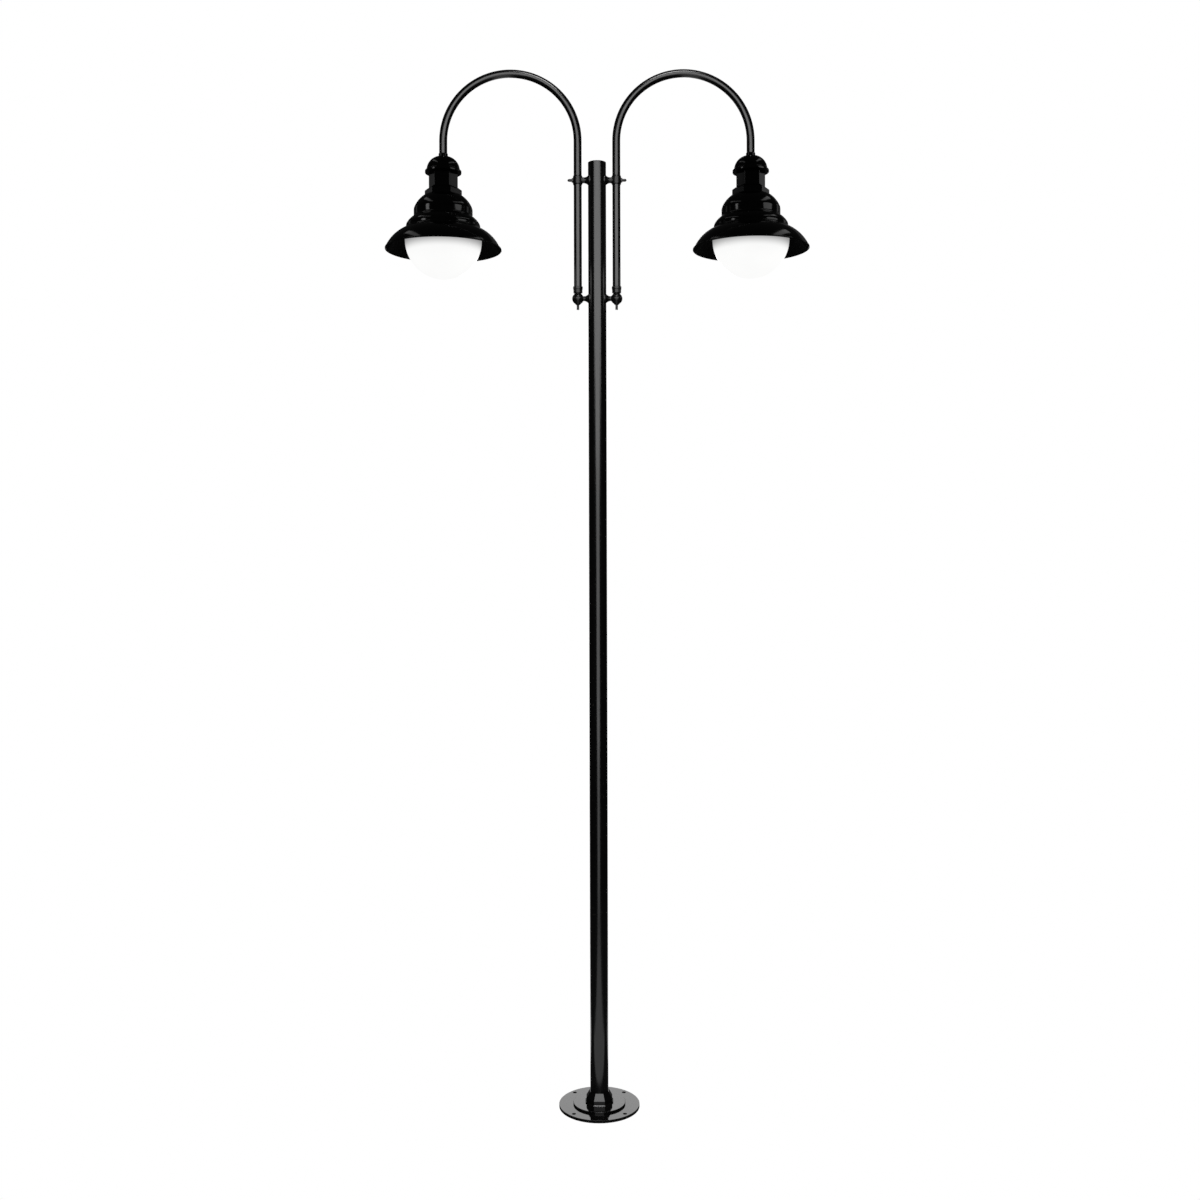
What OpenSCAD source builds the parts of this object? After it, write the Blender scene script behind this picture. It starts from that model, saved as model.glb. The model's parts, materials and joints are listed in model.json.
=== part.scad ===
// Two-armed street lamp. A round post stands on a bolted, stepped base.
// Two crook arms turn in brackets beside its top, and each carries a
// bell-shaped shade over an opal bowl that hinges down for relamping.
// Origin: centre of the base's underside. +Z is up, the arms lie along X,
// and the access door is on the +Y side.

/* [Post] */
// Height of the post above the ground
post_h = 4000; // [3200:10:5000]
// Outside diameter of the post
post_d = 76.1; // [60:0.1:92]
// Wall of the post's tube
post_wall = 3.2; // [2:0.1:5]
// Thickness of the lid on the post
lid_t = 4; // [2:0.5:10]

/* [Base] */
// Diameter of the base plate
plate_d = 340; // [320:5:450]
// Thickness of the base plate
plate_t = 12; // [8:1:20]
// Diameter of the raised step on the plate
step_d = 220; // [160:5:260]
// Thickness of the raised step
step_t = 8; // [4:1:15]
// Octagonal sleeve round the post's foot, across its flats
sleeve_af = 109; // [100:1:140]
// Height of the sleeve's upright wall
sleeve_h = 20; // [10:1:60]
// Height of the sleeve's slope above that wall
sleeve_slope_h = 27; // [10:1:60]
// Width of the weld at the sleeve's foot
weld_w = 4; // [2:0.5:8]
// Circle of the anchor bolts
bolt_pcd = 300; // [280:5:400]
// Diameter of the anchor bolt holes
bolt_hole_d = 16; // [12:1:22]
// Diameter of the cable hole in the plate
cable_hole_d = 50; // [20:1:60]

/* [Access door] */
// Height of the door's lower edge above the ground
door_z = 500; // [300:10:900]
// Height of the door opening
door_h = 300; // [250:10:400]
// Width of the door opening
door_w = 50; // [45:1:54]
// Gap round the door panel
door_gap = 1; // [0.5:0.1:2]
// Diameter of the door screw
door_screw_d = 8; // [6:1:10]

/* [Arms] */
// Outside diameter of the arm tube
arm_d = 33.7; // [26.9:0.1:42.4]
// Wall of the arm tube
arm_wall = 2.6; // [2:0.1:4]
// Distance from the post's axis to the standpipe's axis
arm_offset = 82; // [78:1:120]
// Radius of the bend, at the tube's centre
bend_r = 285; // [265:5:400]
// Height of the bend's centre above the post's top
bend_rise = 93; // [60:1:300]
// Length of straight tube between the bend and the cap
drop_l = 68; // [30:1:200]

/* [Brackets] */
// Distance from the post's top down to the upper bracket
upper_drop = 75; // [50:1:200]
// Distance between the two brackets
bracket_pitch = 502; // [300:1:700]
// Diameter of a bracket's foot on the post
foot_d = 54; // [40:1:60]
// Diameter of the upper bracket's waist
upper_waist_d = 25; // [18:1:30]
// Diameter of the lower bracket's waist
lower_waist_d = 20; // [16:1:26]
// Height of the upper bracket's eye
eye_h = 39; // [25:1:60]
// Wall of the upper bracket's eye
eye_wall = 3.4; // [2.5:0.1:8]
// Diameter of the ball on the lower bracket
ball_d = 49; // [46:1:60]
// Depth of the cup that holds the tube
cup_depth = 12; // [8:1:30]
// Wall of that cup
cup_wall = 2.2; // [2:0.1:5]
// Diameter of the clamp bolt through the eye
clamp_bolt_d = 12; // [8:0.5:14]
// Length of the clamp bolt outside the eye
clamp_bolt_l = 23; // [15:1:40]

/* [Shade] */
// Diameter of the shade's rim
rim_d = 492; // [470:2:640]
// Height of the flared skirt
skirt_h = 87; // [82:1:130]
// Diameter of the shoulder above the skirt
shoulder_d = 314; // [310:1:340]
// Height of the shoulder's upright wall
shoulder_h = 17; // [15:1:40]
// Height of the sloped tier
tier_h = 34; // [20:1:60]
// Diameter of the waist above the tier
waist_d = 249; // [200:1:280]
// Height of the waist's upright wall
waist_h = 34; // [20:1:60]
// Height of the small dome above the waist
dome_h = 57; // [40:1:90]
// Diameter of the top of that dome
dome_top_d = 158; // [145:1:180]
// Thickness of the shade's sheet
shade_t = 2; // [1.2:0.1:3]

/* [Neck and cap] */
// Hexagonal collar, across its corners
collar_ac = 158; // [145:1:180]
// Height of the collar's upright wall
collar_h = 23; // [15:1:40]
// Height of the collar's slope
collar_slope_h = 11; // [6:1:20]
// Hexagonal neck, across its corners
neck_ac = 123; // [119:1:140]
// Height of the neck
neck_h = 62; // [50:1:120]
// Diameter of the bore through the collar and neck
neck_bore_d = 100; // [80:1:101]
// Diameter of the cap's brim
brim_d = 154; // [146:1:190]
// Height of the cap's brim
brim_h = 10; // [5:1:20]
// Diameter of the cap's dome
cap_d = 140; // [126:1:144]
// Height of the cap's dome above the brim
cap_h = 59; // [50:1:90]
// Wall of the cap
cap_wall = 3; // [2:0.5:5]

/* [Bowl] */
// Outside diameter of the opal bowl
bowl_d = 324; // [300:2:326]
// Height of the bowl's centre above the rim
bowl_rise = 40; // [30:1:50]
// Wall of the bowl
bowl_wall = 3; // [2:0.5:5]
// Height above the rim where the bowl is cut off
bowl_cut = 57.5; // [52:0.5:60]

/* [Hidden] */
$fn = 64;
eps = 0.01;
// Radial clearance of a running fit, and the gap between bodies that don't touch
fit = 0.05;
free_gap = 0.3;

post_r = post_d / 2;
post_in = post_r - post_wall;
base_top = plate_t + step_t;
plug_h = 15;

arm_r = arm_d / 2;
arm_in = arm_r - arm_wall;
bend_z = post_h + bend_rise;
lamp_x = arm_offset + 2 * bend_r;

upper_z = post_h - upper_drop;
ball_z = upper_z - bracket_pitch;
ball_r = ball_d / 2;
stem_r = arm_r - arm_wall;
cup_z = ball_z + ball_r - 1.5;
cup_floor = cup_z + 4;
cup_top = cup_floor + cup_depth;
seat_gap = 0.5;
gland_h = 12;
gland_wall = 3.4;
finial_d = 10.5;
finial_l = 23;
nut_t = 5;

// Heights inside the lamp, from the rim up
shoulder_z = skirt_h + shoulder_h;
tier_z = shoulder_z + tier_h;
waist_z = tier_z + waist_h;
collar_z = waist_z + dome_h;
neck_z = collar_z + collar_h + collar_slope_h;
brim_z = neck_z + neck_h;
cap_top = brim_z + brim_h + cap_h;
cap_hole_r = arm_r;
// The flat underside of the cap's crown, which the lock nut bears on
cap_seat = cap_top - cap_wall - 3;
tube_end = cap_top - 22;
cap_nut_h = 14;
lock_nut_t = 12;
rim_z = bend_z - drop_l - cap_top;

shade_outline = concat(
    bulge([rim_d / 2, 0], [shoulder_d / 2, skirt_h], 12.5, 8),
    bulge([shoulder_d / 2, shoulder_z], [waist_d / 2, tier_z], 3, 4),
    bulge([waist_d / 2, waist_z], [dome_top_d / 2, collar_z], 6, 6));
rim_bead_r = 3;

// The gallery inside the shoulder, and what hangs from it
gallery_r = shoulder_d / 2 - shade_t - 0.5;
gallery_t = 3;
gallery_in = min(gallery_r - gallery_t, bowl_d / 2 - 6);
flange_r = max(bowl_d / 2 + 8, gallery_r + 2);
flange_z = bowl_cut + 6.5;
ring_out = flange_r + 2;
ring_in = bowl_d / 2 + 0.5;
lip_t = 3;
bowl_flange_r = ring_out - 5;
hinge_y = ring_out + 5;
hinge_z = bowl_cut - 1.5;
hinge_pin_d = 4;
knuckle_r = 4.6;
knuckle_l = 17;
ear_t = 4;
tongue_w = 10;

gear_plate_d = 136;
gear_plate_t = 3;
gear_plate_z = collar_z - shade_t - gear_plate_t;
holder_d = 50;
holder_l = 59;
holder_z = gear_plate_z - holder_l;
bulb_cap_d = 26.4;
bulb_d = 75;
bulb_l = 125;

door_bar_z = door_z + door_h - 40;
door_bar_y = 16;
door_bar_t = 6;
rail_w = 36;
rail_face = -22;
fuse_z = door_z + 50;
fuse_h = 120;
fuse_depth = 32;

SIDES = ["left", "right"];
ARM_PARTS = [
    "upper_bracket", "clamp_bolt", "clamp_nut", "lower_bracket", "gland_nut", "finial_stud",
    "arm_tube", "cap_nut", "cap", "lock_nut", "neck", "collar", "shade", "gear_plate", "driver",
    "lamp_holder", "bulb", "reflector", "gallery", "gasket", "catch", "hinge_pin",
    "bowl_ring", "bowl"];

// Points of an arc from p to q that bulges by sag to the right of its travel
function bulge(p, q, sag, n) =
    let (chord = norm(q - p),
         r = (chord * chord / 4 + sag * sag) / (2 * sag),
         along = (q - p) / chord,
         out = [along.y, -along.x],
         centre = (p + q) / 2 + out * (sag - r),
         half = asin(chord / 2 / r))
    [for (i = [0:n]) let (t = half * (2 * i / n - 1))
        centre + r * (sin(t) * along + cos(t) * out)];

function reversed(points) = [for (i = [len(points) - 1:-1:0]) points[i]];

// The same outline moved in by a sheet's thickness, and kept above the rim
function inside(points, t) = [for (p = points) [p.x - t, max(p.y - t, 0)]];

module tube(r_out, r_in, h) {
    difference() {
        cylinder(r = r_out, h = h);
        translate([0, 0, -1]) cylinder(r = r_in, h = h + 2);
    }
}

// An upright eight-sided prism, sized across its flats
module octagon(across, h) {
    rotate(22.5) cylinder(d = across / cos(22.5), h = h, $fn = 8);
}

// A cylinder that runs outwards along +X from the post
module rod_x(r, x0, x1) {
    translate([x0, 0, 0]) rotate([0, 90, 0]) cylinder(r = r, h = x1 - x0);
}

// A cylinder along +Y
module rod_y(r, y0, y1, sides = 64) {
    translate([0, y0, 0]) rotate([-90, 0, 0]) cylinder(r = r, h = y1 - y0, $fn = sides);
}

// Places a right-hand arm's piece on either side of the post
module on_side(side) {
    if (side == "left") mirror([1, 0, 0]) children();
    else children();
}

module at_lamp(side) {
    on_side(side) translate([lamp_x, 0, rim_z]) children();
}

// ---- Base ----

module base_plate() {
    color("#151515") difference() {
        cylinder(d = plate_d, h = plate_t);
        translate([0, 0, -1]) cylinder(d = cable_hole_d, h = plate_t + 2);
        for (a = [45:90:315])
            rotate(a) translate([bolt_pcd / 2, 0, -1]) cylinder(d = bolt_hole_d, h = plate_t + 2);
    }
}

module base_step() {
    color("#161616") translate([0, 0, plate_t]) tube(step_d / 2, post_r, step_t);
}

module base_sleeve() {
    color("#171717") translate([0, 0, base_top]) difference() {
        union() {
            hull() {
                octagon(sleeve_af + 2 * weld_w, 0.5);
                octagon(sleeve_af, weld_w);
            }
            hull() {
                octagon(sleeve_af, sleeve_h);
                octagon(post_d + 3, sleeve_h + sleeve_slope_h);
            }
        }
        translate([0, 0, -1]) cylinder(r = post_r, h = sleeve_h + sleeve_slope_h + 2);
    }
}

// ---- Post and what it holds ----

module door_outline(w, h) {
    corner = 8;
    translate([-w / 2, corner]) square([w, h - 2 * corner]);
    translate([corner - w / 2, 0]) square([w - 2 * corner, h]);
    for (x = [-1, 1], y = [corner, h - corner])
        translate([x * (w / 2 - corner), y]) circle(corner);
}

// The door's outline as a block that runs from the axis out through the rear wall
module door_block(margin) {
    translate([0, 0, door_z + margin]) rotate([90, 0, 0]) translate([0, 0, -post_r - 5])
        linear_extrude(post_r + 5) door_outline(door_w - 2 * margin, door_h - 2 * margin);
}

module post_tube() {
    color("#1b1b1b") difference() {
        translate([0, 0, plate_t]) tube(post_r, post_in, post_h - lid_t - plate_t);
        door_block(0);
    }
}

module post_lid() {
    color("#141414") {
        translate([0, 0, post_h - lid_t]) cylinder(r = post_r, h = lid_t);
        translate([0, 0, post_h - lid_t - plug_h]) tube(post_in - free_gap, post_in - 4, plug_h);
    }
}

module door_panel() {
    color("#1d1d1d") difference() {
        intersection() {
            translate([0, 0, door_z]) tube(post_r, post_in, door_h);
            door_block(door_gap);
        }
        translate([0, 0, door_bar_z]) rod_y(door_screw_d / 2 + fit, 0, post_r + 5);
    }
}

module door_screw() {
    head_r = door_screw_d / 2 + 3.5;
    head_y = post_r + free_gap;
    color("#8a8a8a") translate([0, 0, door_bar_z]) difference() {
        union() {
            rod_y(door_screw_d / 2, door_bar_y - 4, head_y + eps);
            rod_y(head_r, head_y, head_y + 5);
        }
        rod_y(3.5, head_y + 2, head_y + 6, 3);
    }
}

module door_bar() {
    outer_y = door_bar_y + door_bar_t;
    half = sqrt(post_in * post_in - outer_y * outer_y);
    color("#3a3a3a") translate([0, 0, door_bar_z]) difference() {
        translate([-half, door_bar_y, -12]) cube([2 * half, door_bar_t, 24]);
        rod_y(door_screw_d / 2 + free_gap, 0, post_r);
    }
}

module gear_rail() {
    back = -sqrt(post_in * post_in - rail_w * rail_w / 4);
    color("#9a9a9a") translate([-rail_w / 2, back, door_z + 20])
        cube([rail_w, rail_face - back, door_h - 80]);
}

module fuse_box() {
    color("#2a2a2c") translate([-rail_w / 2, rail_face, fuse_z])
        cube([rail_w, fuse_depth, fuse_h]);
}

module fuse_carriers() {
    carrier = [13, 7, 52];
    color("#d8d4c8") for (x = [-1, 1])
        translate([x * 8.5 - carrier.x / 2, rail_face + fuse_depth, fuse_z + 34]) cube(carrier);
}

module earth_stud() {
    color("#b08d57") translate([0, 0, door_z + 34]) {
        rod_y(4, rail_face, rail_face + 20);
        rod_y(7.5, rail_face, rail_face + 6.5, 6);
    }
}

// ---- Brackets: drawn for the right-hand arm ----

// A trumpet-shaped foot that runs from the post out to x_end
module trumpet(waist_r, x_end) {
    root = post_r - 14;
    flare_end = post_r + 20;
    outline = concat(
        [[0, root], [foot_d / 2, root]],
        reversed(bulge([waist_r, flare_end], [foot_d / 2, post_r - 4], 5, 6)),
        [[waist_r, x_end], [0, x_end]]);
    rotate([0, 90, 0]) rotate_extrude() polygon(outline);
}

module upper_bracket() {
    eye_r = arm_r + eye_wall;
    edge = eye_h / 2;
    color("#181818") translate([0, 0, upper_z]) difference() {
        union() {
            trumpet(upper_waist_d / 2, arm_offset);
            translate([arm_offset, 0, 0]) rotate_extrude() polygon([
                [0, -edge], [eye_r - 1.5, -edge], [eye_r, 5 - edge],
                [eye_r, edge - 5], [eye_r - 1.5, edge], [0, edge]]);
        }
        translate([0, 0, -50]) cylinder(r = post_r, h = 100);
        translate([arm_offset, 0, -edge - 1]) cylinder(r = arm_r + fit, h = eye_h + 2);
        rod_x(clamp_bolt_d / 2, arm_offset + arm_r, arm_offset + eye_r + 1);
    }
}

module clamp_bolt() {
    r = clamp_bolt_d / 2;
    inner = arm_offset + arm_r + free_gap;
    outer = arm_offset + arm_r + eye_wall + clamp_bolt_l;
    point = 5;
    color("#2e2e2e") translate([0, 0, upper_z]) {
        rod_x(r, inner, outer - point);
        translate([outer - point, 0, 0]) rotate([0, 90, 0]) cylinder(r1 = r, r2 = 2, h = point);
    }
}

module clamp_nut() {
    face = arm_offset + arm_r + eye_wall;
    color("#2a2a2a") translate([face, 0, upper_z]) rotate([0, 90, 0]) difference() {
        cylinder(r = clamp_bolt_d / 2 + 4, h = nut_t, $fn = 6);
        translate([0, 0, -1]) cylinder(d = clamp_bolt_d, h = nut_t + 2);
    }
}

module lower_bracket() {
    color("#181818") difference() {
        union() {
            translate([0, 0, ball_z]) trumpet(lower_waist_d / 2, arm_offset - 5);
            translate([arm_offset, 0, ball_z]) sphere(ball_r);
            translate([arm_offset, 0, ball_z]) cylinder(r = stem_r, h = cup_floor - ball_z);
            translate([arm_offset, 0, cup_z])
                cylinder(r = arm_r + cup_wall, h = cup_top - cup_z);
            translate([arm_offset, 0, ball_z - ball_r - 3])
                cylinder(r1 = finial_d / 2 + 1.5, r2 = ball_r * 0.86, h = ball_r * 0.5 + 3);
        }
        translate([0, 0, ball_z - 50]) cylinder(r = post_r, h = 100);
        translate([arm_offset, 0, cup_floor]) cylinder(r = arm_r + fit, h = cup_depth + 1);
        translate([arm_offset, 0, ball_z - 60]) cylinder(d = finial_d, h = 60 - ball_r / 2);
    }
}

module gland_nut() {
    color("#1f1f1f") translate([arm_offset, 0, cup_top])
        tube(arm_r + gland_wall, arm_r + free_gap, gland_h);
}

module finial_stud() {
    top = ball_z - ball_r / 2;
    color("#2e2e2e") translate([arm_offset, 0, ball_z - ball_r - finial_l])
        cylinder(d = finial_d, h = top - (ball_z - ball_r - finial_l));
}

// ---- Arm: drawn for the right-hand side ----

module arm_run(r, extra) {
    low = cup_floor + seat_gap;
    high = rim_z + tube_end;
    translate([arm_offset, 0, low - extra]) cylinder(r = r, h = bend_z - low + extra);
    translate([lamp_x, 0, high - extra]) cylinder(r = r, h = bend_z - high + extra);
    translate([arm_offset + bend_r, 0, bend_z]) rotate([90, 0, 0])
        rotate_extrude(angle = 180) translate([bend_r, 0]) circle(r);
}

module arm_tube() {
    color("#1b1b1b") difference() {
        arm_run(arm_r, 0);
        arm_run(arm_in, 1);
    }
}

// ---- Lamp: each piece is drawn with the rim's plane at z = 0 ----

module cap_nut() {
    color("#202020") translate([0, 0, cap_top]) tube(arm_r + 2.6, arm_r, cap_nut_h);
}

module cap() {
    dome_z = brim_z + brim_h + 4;
    crown_r = arm_r + 6;
    outer = concat(
        [[brim_d / 2, brim_z], [brim_d / 2, brim_z + brim_h]],
        bulge([cap_d / 2, dome_z], [crown_r, cap_top], 13, 8));
    hollow = [for (p = inside(bulge([cap_d / 2, dome_z], [crown_r, cap_top], 13, 8), cap_wall))
        [p.x, min(p.y, cap_seat)]];
    color("#141414") rotate_extrude() polygon(concat(
        outer,
        [[cap_hole_r, cap_top], [cap_hole_r, cap_seat]],
        reversed(hollow),
        [[cap_d / 2 - cap_wall, brim_z + cap_wall], [neck_bore_d / 2, brim_z + cap_wall],
         [neck_bore_d / 2, brim_z]]));
}

module lock_nut() {
    color("#8a8a8a") translate([0, 0, cap_seat - lock_nut_t]) difference() {
        cylinder(r = arm_r + 8, h = lock_nut_t, $fn = 6);
        translate([0, 0, -1]) cylinder(r = arm_r, h = lock_nut_t + 2);
    }
}

module neck() {
    color("#161616") translate([0, 0, neck_z]) difference() {
        cylinder(d = neck_ac, h = neck_h, $fn = 6);
        translate([0, 0, -1]) cylinder(d = neck_bore_d, h = neck_h + 2);
    }
}

module collar() {
    color("#171717") translate([0, 0, collar_z]) difference() {
        union() {
            cylinder(d = collar_ac, h = collar_h, $fn = 6);
            translate([0, 0, collar_h])
                cylinder(d1 = collar_ac, d2 = neck_ac + 4, h = collar_slope_h, $fn = 6);
        }
        translate([0, 0, -1]) cylinder(d = neck_bore_d, h = collar_h + collar_slope_h + 2);
    }
}

module shade() {
    color("#121212") rotate_extrude() {
        polygon(concat(
            shade_outline,
            [[neck_bore_d / 2, collar_z], [neck_bore_d / 2, collar_z - shade_t]],
            reversed(inside(shade_outline, shade_t))));
        translate([rim_d / 2 - rim_bead_r, rim_bead_r]) circle(rim_bead_r);
    }
}

module gear_plate() {
    color("#a8a8a8") translate([0, 0, gear_plate_z]) tube(gear_plate_d / 2, 12, gear_plate_t);
}

module driver() {
    size = [60, 44, 84];
    color("#c9c9c6") translate([-size.x / 2, -size.y / 2, gear_plate_z + gear_plate_t])
        cube(size);
}

module lamp_holder() {
    color("#e6e2d8") translate([0, 0, holder_z]) difference() {
        cylinder(d = holder_d, h = holder_l);
        translate([0, 0, -1]) cylinder(r = bulb_cap_d / 2 + 0.4, h = 27);
    }
}

module bulb() {
    tip = holder_z + 22 - bulb_l;
    color("#f4efe0") {
        translate([0, 0, tip]) sphere(d = bulb_d);
        translate([0, 0, tip]) cylinder(d1 = bulb_d, d2 = bulb_cap_d + 4, h = bulb_l - 32);
        translate([0, 0, holder_z - 10]) cylinder(d = bulb_cap_d, h = 32);
    }
}

module reflector() {
    t = 1.5;
    low = gallery_r - gallery_t;
    high = holder_d / 2 + 8;
    top = tier_z + 22;
    color("#f2f2ee") rotate_extrude() polygon([
        [low - t, flange_z + gallery_t], [low, flange_z + gallery_t],
        [high, top], [high - t, top]]);
}

module gallery() {
    color("#262626") difference() {
        union() {
            rotate_extrude() polygon(concat(
                [[gallery_in, flange_z], [flange_r, flange_z],
                 [flange_r, flange_z + gallery_t], [gallery_r, flange_z + gallery_t],
                 [gallery_r, shoulder_z - shade_t - 4], [gallery_r - gallery_t, shoulder_z - shade_t - 4]],
                gallery_in < gallery_r - gallery_t ?
                    [[gallery_r - gallery_t, flange_z + gallery_t], [gallery_in, flange_z + gallery_t]] : []));
            for (x = [-1, 1]) translate([x * (knuckle_l / 2 + 0.5 + ear_t / 2) - ear_t / 2, 0, 0]) {
                translate([0, flange_r - 4, flange_z])
                    cube([ear_t, hinge_y + knuckle_r - flange_r + 4, gallery_t]);
                translate([0, hinge_y - knuckle_r, hinge_z])
                    cube([ear_t, 2 * knuckle_r, flange_z + gallery_t - hinge_z]);
                translate([0, hinge_y, hinge_z]) rotate([0, 90, 0])
                    cylinder(r = knuckle_r, h = ear_t);
            }
        }
        translate([-20, hinge_y, hinge_z]) rotate([0, 90, 0])
            cylinder(d = hinge_pin_d, h = 40);
    }
}

module gasket() {
    color("#0c0c0c") translate([0, 0, bowl_cut + lip_t])
        tube(bowl_d / 2 + 1, bowl_d / 2 - 5, flange_z - bowl_cut - lip_t);
}

module catch() {
    leaf = 1.6;
    half = tongue_w / 2 + 0.5 + leaf;
    out = ring_out + 6;
    color("#b5b5b5") {
        translate([-half, -out, flange_z]) cube([2 * half, out - flange_r, gallery_t]);
        for (x = [-half, half - leaf])
            translate([x, -out, flange_z - 13]) cube([leaf, 5, 13]);
    }
}

module hinge_pin() {
    l = knuckle_l + 1 + 2 * ear_t + 2;
    color("#b5b5b5") translate([-l / 2, hinge_y, hinge_z]) rotate([0, 90, 0])
        cylinder(d = hinge_pin_d, h = l);
}

module bowl_ring() {
    low = bowl_cut - lip_t;
    color("#1c1c1c") difference() {
        union() {
            rotate_extrude() polygon([
                [ring_in, low], [ring_out, low], [ring_out, flange_z - 0.5],
                [ring_out - 4, flange_z - 0.5], [ring_out - 4, bowl_cut], [ring_in, bowl_cut]]);
            translate([-knuckle_l / 2, hinge_y, hinge_z]) rotate([0, 90, 0])
                cylinder(r = knuckle_r, h = knuckle_l);
            translate([-knuckle_l / 2, ring_out - 2, low])
                cube([knuckle_l, hinge_y - ring_out + 2, 4]);
            translate([-tongue_w / 2, -ring_out - 4, low + 1])
                cube([tongue_w, 6, 4]);
        }
        translate([-20, hinge_y, hinge_z]) rotate([0, 90, 0])
            cylinder(r = hinge_pin_d / 2 + fit, h = 40);
    }
}

module bowl() {
    r = bowl_d / 2;
    color("#fbfbf8") {
        translate([0, 0, bowl_rise]) difference() {
            sphere(r);
            sphere(r - bowl_wall);
            translate([0, 0, bowl_cut - bowl_rise + lip_t]) cylinder(r = r + 1, h = r);
        }
        translate([0, 0, bowl_cut]) tube(bowl_flange_r, r - bowl_wall + 1, lip_t);
    }
}

base_plate();
base_step();
base_sleeve();
post_tube();
post_lid();
door_panel();
door_screw();
door_bar();
gear_rail();
fuse_box();
fuse_carriers();
earth_stud();
for (side = SIDES) {
    on_side(side) upper_bracket();
    on_side(side) clamp_bolt();
    on_side(side) clamp_nut();
    on_side(side) lower_bracket();
    on_side(side) gland_nut();
    on_side(side) finial_stud();
    on_side(side) arm_tube();
    at_lamp(side) cap_nut();
    at_lamp(side) cap();
    at_lamp(side) lock_nut();
    at_lamp(side) neck();
    at_lamp(side) collar();
    at_lamp(side) shade();
    at_lamp(side) gear_plate();
    at_lamp(side) driver();
    at_lamp(side) lamp_holder();
    at_lamp(side) bulb();
    at_lamp(side) reflector();
    at_lamp(side) gallery();
    at_lamp(side) gasket();
    at_lamp(side) catch();
    at_lamp(side) hinge_pin();
    at_lamp(side) bowl_ring();
    at_lamp(side) bowl();
}
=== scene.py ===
import json
import math
import bmesh
import bpy
from mathutils import Matrix, Vector

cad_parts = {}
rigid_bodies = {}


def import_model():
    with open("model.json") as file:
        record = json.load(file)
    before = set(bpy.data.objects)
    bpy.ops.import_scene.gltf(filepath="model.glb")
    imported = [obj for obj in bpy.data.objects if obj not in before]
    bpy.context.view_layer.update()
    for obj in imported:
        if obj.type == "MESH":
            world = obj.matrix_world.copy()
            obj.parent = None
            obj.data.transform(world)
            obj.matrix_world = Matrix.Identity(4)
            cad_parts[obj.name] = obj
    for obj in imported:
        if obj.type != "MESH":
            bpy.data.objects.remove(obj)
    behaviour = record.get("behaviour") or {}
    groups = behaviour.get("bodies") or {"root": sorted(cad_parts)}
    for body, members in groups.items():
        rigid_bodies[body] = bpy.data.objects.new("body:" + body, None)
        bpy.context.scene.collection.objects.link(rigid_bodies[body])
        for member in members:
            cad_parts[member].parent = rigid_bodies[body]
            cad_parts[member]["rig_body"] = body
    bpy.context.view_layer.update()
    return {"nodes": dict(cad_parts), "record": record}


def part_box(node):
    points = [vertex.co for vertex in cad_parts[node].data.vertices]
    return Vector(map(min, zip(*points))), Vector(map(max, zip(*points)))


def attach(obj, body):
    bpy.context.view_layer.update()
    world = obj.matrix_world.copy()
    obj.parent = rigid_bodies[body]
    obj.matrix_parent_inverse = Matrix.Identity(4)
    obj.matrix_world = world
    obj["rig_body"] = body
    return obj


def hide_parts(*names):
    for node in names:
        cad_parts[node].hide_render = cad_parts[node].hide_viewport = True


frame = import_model()
nodes = frame["nodes"]
slotOf = {part["node"]: part["material_slot"] for part in frame["record"]["subparts"]}
sides = {"left": -1, "right": 1}  # the way each arm reaches along X
mm = 0.001
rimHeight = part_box("left_shade")[0].z


def middle(node):
    low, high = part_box(node)
    return (low + high) / 2


# camera

cameraPlace = {"distance": 5.51, "eyeHeight": 2.37, "lens": 38.97, "drop": -0.0442, "aside": 0.0017, "roll": 0.15}

cameraData = bpy.data.cameras.new("camera")
cameraData.sensor_width = 36
cameraData.lens = cameraPlace["lens"]
cameraData.shift_x = cameraPlace["aside"]
cameraData.shift_y = cameraPlace["drop"]
camera = bpy.data.objects.new("camera", cameraData)
bpy.context.collection.objects.link(camera)
camera.location = (0, -cameraPlace["distance"], cameraPlace["eyeHeight"])
camera.rotation_euler = (math.pi / 2, math.radians(cameraPlace["roll"]), 0)
bpy.context.scene.camera = camera
print("camera placed")


# finishes

class Wire:  # one output socket, so that shader maths reads as plain sums
    def __init__(self, finish, socket):
        self.finish = finish
        self.socket = socket

    def maths(self, operation, first, second):
        return self.finish.add("ShaderNodeMath", {"operation": operation}, {0: first, 1: second})

    def __add__(self, other):
        return self.maths("ADD", self, other)

    def __radd__(self, other):
        return self.maths("ADD", other, self)

    def __sub__(self, other):
        return self.maths("SUBTRACT", self, other)

    def __rsub__(self, other):
        return self.maths("SUBTRACT", other, self)

    def __mul__(self, other):
        return self.maths("MULTIPLY", self, other)

    def __rmul__(self, other):
        return self.maths("MULTIPLY", other, self)


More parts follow.
